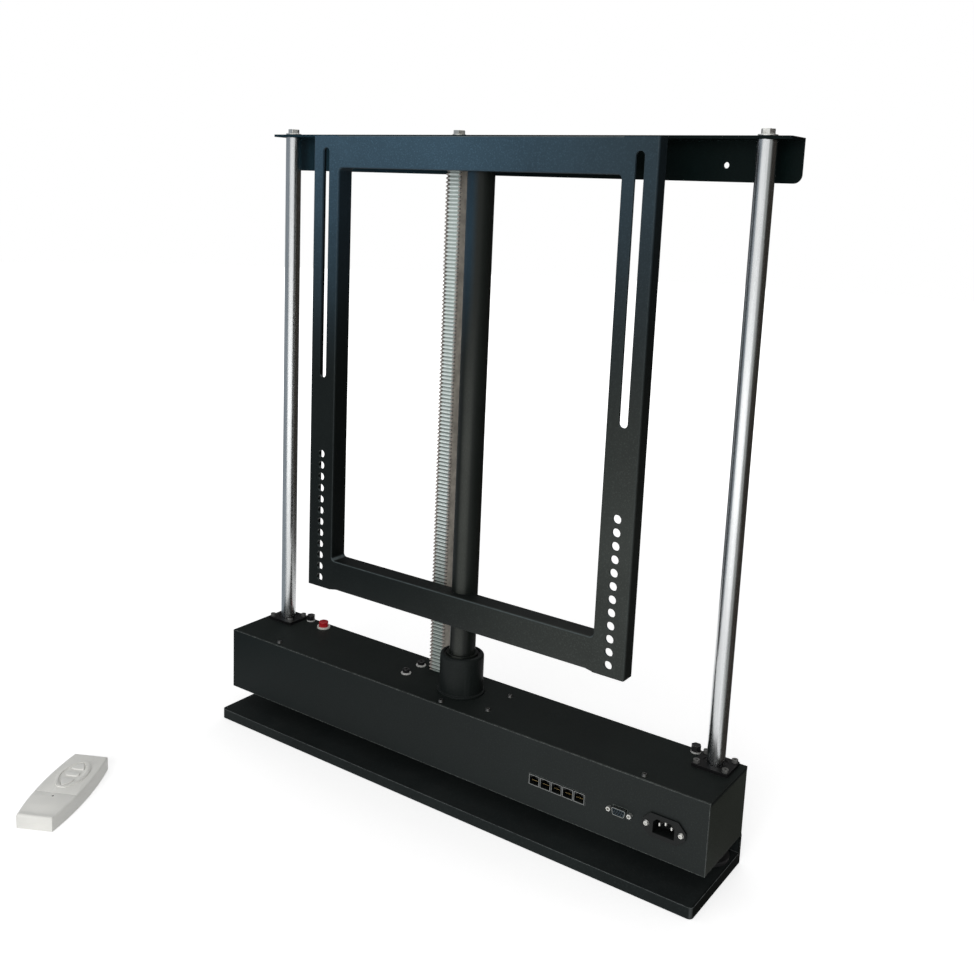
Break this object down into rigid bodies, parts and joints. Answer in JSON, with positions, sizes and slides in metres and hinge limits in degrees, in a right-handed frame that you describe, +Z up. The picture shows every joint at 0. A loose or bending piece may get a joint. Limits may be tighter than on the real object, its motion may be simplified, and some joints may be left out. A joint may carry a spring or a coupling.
{
  "type": "rotating tv stand",
  "caption": "Motorised television lift with a turning frame: a motor box climbs a gear rack between two guide rods and carries a column with a slotted frame; a handset lies in front.",
  "frame": {"origin": "on the floor, under the axis of the column", "axes": "+X along the motor box to the side with the sockets, +Y to the back, +Z up"},
  "size_m": [0.7378, 0.4589, 0.7971],
  "materials": {
    "frame_paint": "satin",
    "top_rail_paint": "satin",
    "bracket_paint": "satin",
    "base_paint": "satin",
    "case_paint": "matte",
    "front_paint": "matte",
    "column_paint": "satin",
    "collar_black": "matte",
    "rod_chrome": "polished",
    "rack_steel": "machined",
    "zinc": "zinc plated",
    "dark_screws": "black oxide",
    "gear_steel": "machined",
    "bearing_steel": "ground",
    "drive_steel": "satin",
    "supply_case": "satin",
    "foot_black": "satin",
    "bush_black": "satin",
    "liner_plastic": "matte",
    "board_green": "gloss",
    "board_blue": "matte",
    "socket_black": "matte",
    "socket_nickel": "nickel plated",
    "bezel_chrome": "polished",
    "button_red": "gloss",
    "handset_shell": "satin",
    "handset_keys": "satin"
  },
  "bodies": {
    "stand": {"base_plate": "base_paint", "guide_rods": "rod_chrome", "rod_feet": "foot_black", "gear_rack": "rack_steel", "top_bracket": "bracket_paint", "rod_bolts": "zinc", "rack_bolt": "zinc", "base_screws": "dark_screws", "handset_base": "handset_shell", "handset_cover": "handset_shell", "handset_board": "board_green"},
    "motor_box": {"top_plate": "case_paint", "front_panel": "front_paint", "rear_panel": "case_paint", "end_plates": "case_paint", "bottom_panel": "case_paint", "linear_bushes": "bush_black", "bush_liners": "bush_black", "flange_screws": "dark_screws", "bearing_housing": "collar_black", "bearing_outers": "bearing_steel", "bearing_balls": "bearing_steel", "lift_motor": "drive_steel", "lift_gearbox": "drive_steel", "motor_bracket": "drive_steel", "shaft_bearing": "bearing_steel", "bearing_block": "drive_steel", "rack_guide": "liner_plastic", "bracket_screws": "dark_screws", "swivel_plate": "drive_steel", "swivel_motor": "drive_steel", "swivel_standoffs": "zinc", "cover_screws": "dark_screws", "stop_bolts": "dark_screws", "control_board": "board_green", "board_parts": "board_blue", "power_supply": "supply_case", "jack_block": "socket_black", "serial_socket": "socket_nickel", "socket_posts": "zinc", "mains_inlet": "socket_black", "inlet_pins": "zinc", "inlet_screws": "zinc", "button_body": "bezel_chrome"},
    "turning_frame": {"column": "column_paint", "bearing_inners": "bearing_steel", "swivel_gear": "gear_steel", "left_post": "frame_paint", "right_post": "frame_paint", "top_rail": "top_rail_paint", "bottom_rail": "frame_paint", "rail_saddles": "frame_paint", "load_ring": "column_paint"},
    "rack_pinion": {"lift_pinion": "gear_steel", "pinion_shaft": "gear_steel"},
    "drive_pinion": {"swivel_pinion": "gear_steel"},
    "push_button": {"red_button": "button_red"},
    "handset_up": {"up_key": "handset_keys"},
    "handset_stop": {"stop_key": "handset_keys"},
    "handset_down": {"down_key": "handset_keys"}
  },
  "joints": [
    {"name": "lift", "type": "slide", "parent": "stand", "child": "motor_box", "axis": [0, 0, 1], "range_m": [0, 0.61]},
    {"name": "rack_pinion_turn", "type": "hinge", "parent": "motor_box", "child": "rack_pinion", "pos_m": [-0.058, 0.0115, 0.078], "axis": [1, 0, 0], "range_deg": [-2335, 1]},
    {"name": "swivel", "type": "hinge", "parent": "motor_box", "child": "turning_frame", "pos_m": [0, 0, 0.12], "axis": [0, 0, 1], "range_deg": [-13, 13]},
    {"name": "drive_pinion_turn", "type": "hinge", "parent": "motor_box", "child": "drive_pinion", "pos_m": [0.0435, 0, 0.05], "axis": [0, 0, 1], "range_deg": [-29, 29]},
    {"name": "button_press", "type": "slide", "parent": "motor_box", "child": "push_button", "axis": [0, 0, -1], "range_m": [0, 0.003], "stiffness_N_per_m": 900, "springref_m": -0.001},
    {"name": "up_key_press", "type": "slide", "parent": "stand", "child": "handset_up", "axis": [0, 0, -1], "range_m": [0, 0.001], "stiffness_N_per_m": 800, "springref_m": -0.0006},
    {"name": "stop_key_press", "type": "slide", "parent": "stand", "child": "handset_stop", "axis": [0, 0, -1], "range_m": [0, 0.001], "stiffness_N_per_m": 800, "springref_m": -0.0006},
    {"name": "down_key_press", "type": "slide", "parent": "stand", "child": "handset_down", "axis": [0, 0, -1], "range_m": [0, 0.001], "stiffness_N_per_m": 800, "springref_m": -0.0006}
  ],
  "couplings": [
    {"joint": "rack_pinion_turn", "follows": "lift", "rad_per_m": -66.667},
    {"joint": "drive_pinion_turn", "follows": "swivel", "ratio": -2.2222}
  ]
}
